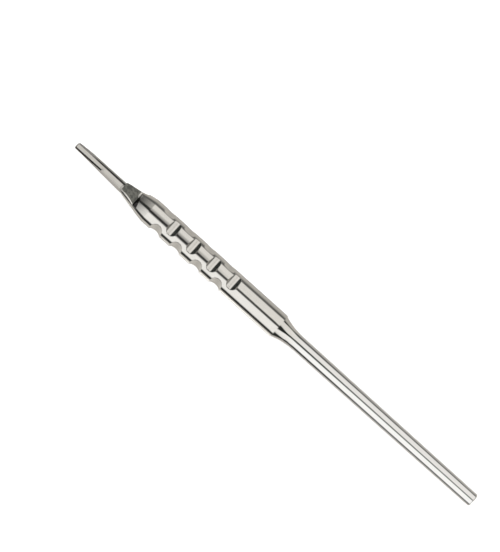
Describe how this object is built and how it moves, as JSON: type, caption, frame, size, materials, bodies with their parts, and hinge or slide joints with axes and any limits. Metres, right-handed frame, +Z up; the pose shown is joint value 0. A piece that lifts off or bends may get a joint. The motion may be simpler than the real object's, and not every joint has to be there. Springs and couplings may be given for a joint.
{
  "type": "scalpel handle",
  "caption": "Long one-piece steel scalpel handle: eight-sided grip with staggered finger notches, slim tapered tail and an undercut rail that takes a slide-on blade.",
  "frame": {"origin": "under the middle of the handle's length, on the surface that the grip's lower flat rests on", "axes": "+X along the handle towards the tip of the blade fitting, +Z up out of the broad face that carries the rail, +Y to the blade's cutting-edge side"},
  "size_m": [0.16, 0.0076, 0.0077],
  "materials": {
    "steel": "polished"
  },
  "bodies": {
    "root": {"scalpel_handle": "steel"}
  },
  "joints": []
}
